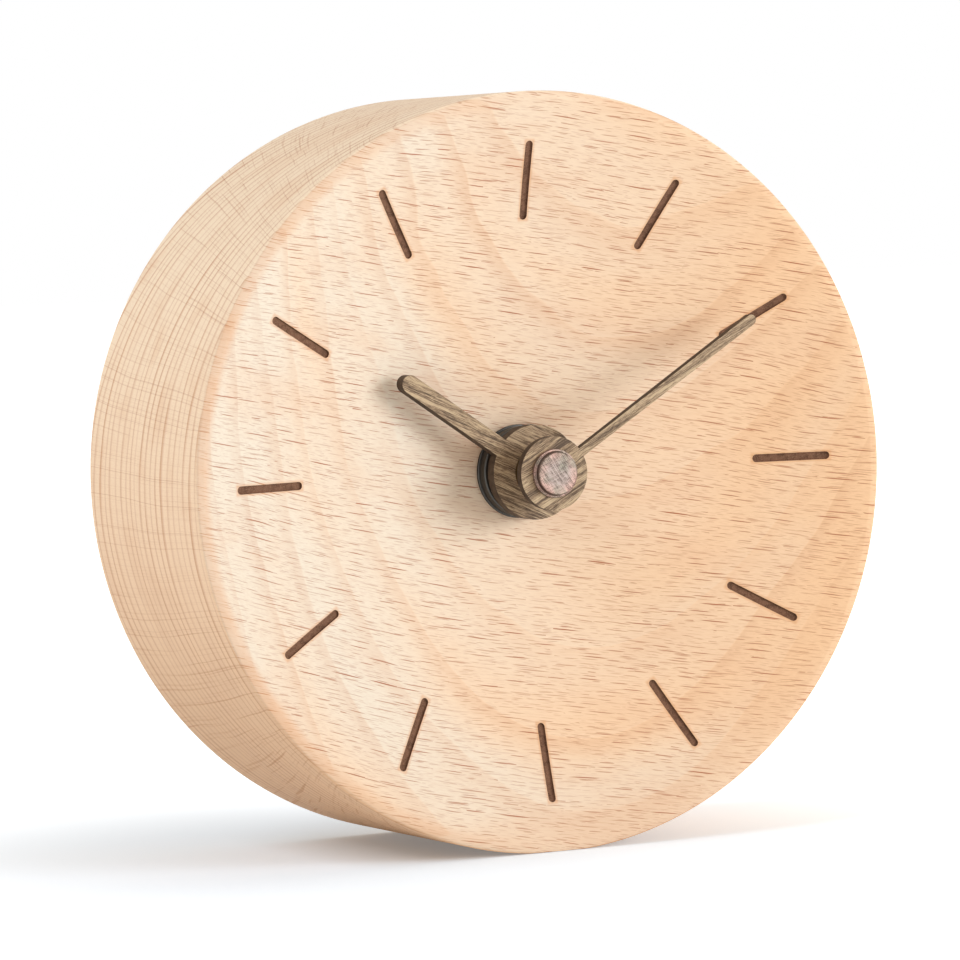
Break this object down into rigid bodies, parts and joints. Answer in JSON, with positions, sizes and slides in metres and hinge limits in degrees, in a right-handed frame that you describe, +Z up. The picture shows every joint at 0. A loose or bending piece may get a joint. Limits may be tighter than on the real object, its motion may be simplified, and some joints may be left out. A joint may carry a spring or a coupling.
{
  "type": "desk clock",
  "caption": "Round turned-wood desk clock with a dished dial, burnt hour marks, flat wooden hands and a battery movement in a pocket at the back.",
  "frame": {"origin": "on the surface the clock stands on, under the middle of its bounding box", "axes": "+Z up towards 12 on the dial, the dial looks along -Y, +X towards 3 on the dial"},
  "size_m": [0.1, 0.0398, 0.0998],
  "materials": {
    "beech": "pale beech, sanded and lightly oiled, dial marks burnt dark brown",
    "dark_wood": "dark streaky wood with burnt cut edges",
    "cap_metal": "brushed, warm grey",
    "black_metal": "black satin",
    "brass": "turned",
    "rubber": "matt black",
    "case_plastic": "fine spark texture, black",
    "knob_plastic": "black, ribbed",
    "wheel_plastic": "natural moulded",
    "steel": "plated",
    "setting_plastic": "natural moulded",
    "magnet": "sintered, dark grey",
    "soft_iron": "stamped",
    "copper": "enamelled winding wire",
    "board": "phenolic board, brown",
    "resin": "black resin blob",
    "cell": "plain sleeve, bare ends"
  },
  "bodies": {
    "clock_body": {"wooden_body": "beech", "dial_washer": "black_metal", "dial_nut": "black_metal", "threaded_bushing": "brass", "rubber_gasket": "rubber", "stator_plate": "soft_iron", "coil_core": "soft_iron", "coil_bobbin": "wheel_plastic", "coil_winding": "copper", "circuit_board": "board", "timing_chip": "resin", "quartz_crystal": "steel", "gear_bridge": "wheel_plastic", "movement_screws": "steel", "movement_case_front": "case_plastic", "movement_case_back": "case_plastic", "battery_plus_contact": "steel", "battery_minus_contact": "steel"},
    "minute_hand": {"minute_hand": "dark_wood", "minute_hand_bush": "brass", "centre_cap": "cap_metal", "minute_arbor": "steel", "clutch_spring": "steel"},
    "hour_hand": {"hour_hand": "dark_wood", "hour_hand_bush": "brass", "hour_wheel": "wheel_plastic"},
    "setting_knob": {"setting_arbor": "setting_plastic", "setting_knob": "knob_plastic"},
    "centre_wheel": {"centre_wheel": "wheel_plastic"},
    "third_wheel": {"third_wheel": "wheel_plastic"},
    "seconds_wheel": {"seconds_wheel": "wheel_plastic"},
    "intermediate_wheel": {"intermediate_wheel": "wheel_plastic"},
    "rotor": {"rotor_pinion": "wheel_plastic", "rotor_magnet": "magnet"},
    "battery": {"battery_cell": "cell"}
  },
  "joints": [
    {"name": "minute_hand_turn", "type": "hinge", "parent": "clock_body", "child": "minute_hand", "pos_m": [0, -0.00175, 0.0498], "axis": [0, 1, 0], "continuous": true},
    {"name": "hour_hand_turn", "type": "hinge", "parent": "clock_body", "child": "hour_hand", "pos_m": [0, -0.00175, 0.0498], "axis": [0, 1, 0], "continuous": true},
    {"name": "setting_knob_turn", "type": "hinge", "parent": "clock_body", "child": "setting_knob", "pos_m": [-0.01076, -0.00175, 0.04886], "axis": [0, 1, 0], "continuous": true},
    {"name": "seconds_wheel_turn", "type": "hinge", "parent": "clock_body", "child": "seconds_wheel", "pos_m": [0, -0.00175, 0.0498], "axis": [0, 1, 0], "continuous": true},
    {"name": "centre_wheel_turn", "type": "hinge", "parent": "clock_body", "child": "centre_wheel", "pos_m": [0, -0.00175, 0.0498], "axis": [0, 1, 0], "continuous": true},
    {"name": "third_wheel_turn", "type": "hinge", "parent": "clock_body", "child": "third_wheel", "pos_m": [-0.00431, -0.00175, 0.05904], "axis": [0, 1, 0], "continuous": true},
    {"name": "intermediate_wheel_turn", "type": "hinge", "parent": "clock_body", "child": "intermediate_wheel", "pos_m": [0.00886, -0.00175, 0.05136], "axis": [0, 1, 0], "continuous": true},
    {"name": "rotor_turn", "type": "hinge", "parent": "clock_body", "child": "rotor", "pos_m": [0.01186, -0.00175, 0.05958], "axis": [0, 1, 0], "continuous": true},
    {"name": "battery_slide", "type": "slide", "parent": "clock_body", "child": "battery", "axis": [0, 1, 0], "range_m": [0, 0.02]}
  ],
  "couplings": [
    {"joint": "hour_hand_turn", "follows": "minute_hand_turn", "ratio": 0.083333},
    {"joint": "setting_knob_turn", "follows": "minute_hand_turn", "ratio": -0.33333},
    {"joint": "centre_wheel_turn", "follows": "seconds_wheel_turn", "ratio": 0.016667},
    {"joint": "third_wheel_turn", "follows": "seconds_wheel_turn", "ratio": -0.125},
    {"joint": "intermediate_wheel_turn", "follows": "seconds_wheel_turn", "ratio": -5},
    {"joint": "rotor_turn", "follows": "seconds_wheel_turn", "ratio": 30}
  ]
}
